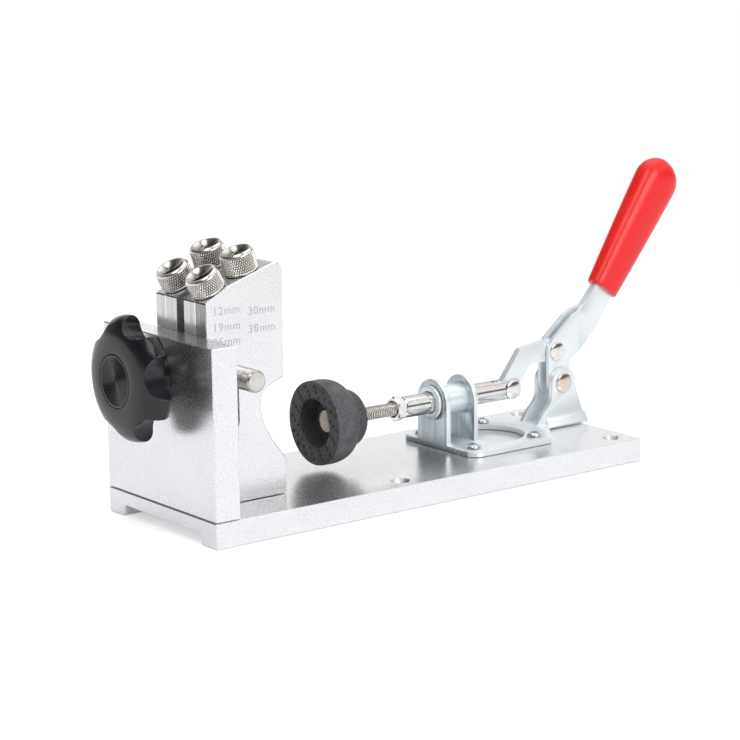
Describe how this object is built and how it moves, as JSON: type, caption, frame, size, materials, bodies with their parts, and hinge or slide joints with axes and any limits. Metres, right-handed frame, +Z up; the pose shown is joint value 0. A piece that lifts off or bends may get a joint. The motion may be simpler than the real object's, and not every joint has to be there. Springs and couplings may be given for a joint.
{
  "type": "pocket hole jig",
  "caption": "Bench jig for drilling pocket holes: a sliding aluminium guide block with knurled drill bushings, and a push-pull toggle clamp with a rubber pad.",
  "frame": {"origin": "on the bench under the middle of the whole jig", "axes": "+X from the knob towards the clamp handle, +Y across the plate, +Z up"},
  "size_m": [0.4081, 0.106, 0.1679],
  "materials": {
    "aluminium": "bead-blasted, satin",
    "nickel": "nickel-plated, knurled",
    "chrome": "polished",
    "steel": "bright",
    "zinc": "zinc-plated, brushed",
    "knob_plastic": "black, satin gloss",
    "pad_rubber": "dark grey, matt",
    "grip_vinyl": "red dipped vinyl"
  },
  "bodies": {
    "base": {"base_plate": "aluminium", "end_plate": "aluminium", "end_screw_near": "steel", "end_screw_far": "steel", "cross_pin": "nickel", "clamp_base": "zinc", "clamp_screw_1": "zinc", "clamp_screw_2": "zinc", "clamp_screw_3": "zinc", "clamp_screw_4": "zinc", "guide_tube": "zinc", "pivot_rivet": "steel"},
    "guide": {"guide_block": "aluminium", "bushing_low_near": "nickel", "bushing_low_far": "nickel", "bushing_high_near": "nickel", "bushing_high_far": "nickel"},
    "knob_set": {"knob": "knob_plastic", "knob_cap": "knob_plastic", "knob_stud": "steel"},
    "plunger_set": {"plunger": "chrome", "plunger_pin_near": "steel", "plunger_pin_far": "steel"},
    "spindle_set": {"spindle_bolt": "steel", "rubber_pad": "pad_rubber"},
    "nut": {"jam_nut": "steel"},
    "handle_set": {"handle": "zinc", "link_rivet": "steel", "grip": "grip_vinyl"},
    "link_arm": {"link": "zinc"}
  },
  "joints": [
    {"name": "guide_lift", "type": "slide", "parent": "base", "child": "guide", "axis": [0, 0, 1], "range_m": [0, 0.026]},
    {"name": "knob_turn", "type": "hinge", "parent": "base", "child": "knob_set", "pos_m": [-0.17806, 0, 0.085], "axis": [1, 0, 0], "continuous": true},
    {"name": "handle_swing", "type": "hinge", "parent": "base", "child": "handle_set", "pos_m": [0.10824, 0.008, 0.0405], "axis": [0, -1, 0], "range_deg": [-20, 82.5]},
    {"name": "plunger_push", "type": "slide", "parent": "base", "child": "plunger_set", "axis": [1, 0, 0], "range_m": [-0.0215, 0.0053]},
    {"name": "link_swing", "type": "hinge", "parent": "handle_set", "child": "link_arm", "pos_m": [0.10573, 0.008, 0.05954], "axis": [0, -1, 0], "range_deg": [-111.6, 27.2]},
    {"name": "spindle_screw", "type": "slide", "parent": "plunger_set", "child": "spindle_set", "axis": [1, 0, 0], "range_m": [-0.015, 0.015]},
    {"name": "jam_nut_turn", "type": "hinge", "parent": "plunger_set", "child": "nut", "pos_m": [-0.01506, 0.008, 0.041], "axis": [1, 0, 0], "continuous": true}
  ],
  "couplings": [
    {"joint": "plunger_push", "follows": "handle_swing", "m_per_rad": -0.014807},
    {"joint": "link_swing", "follows": "handle_swing", "ratio": -1.3488}
  ]
}
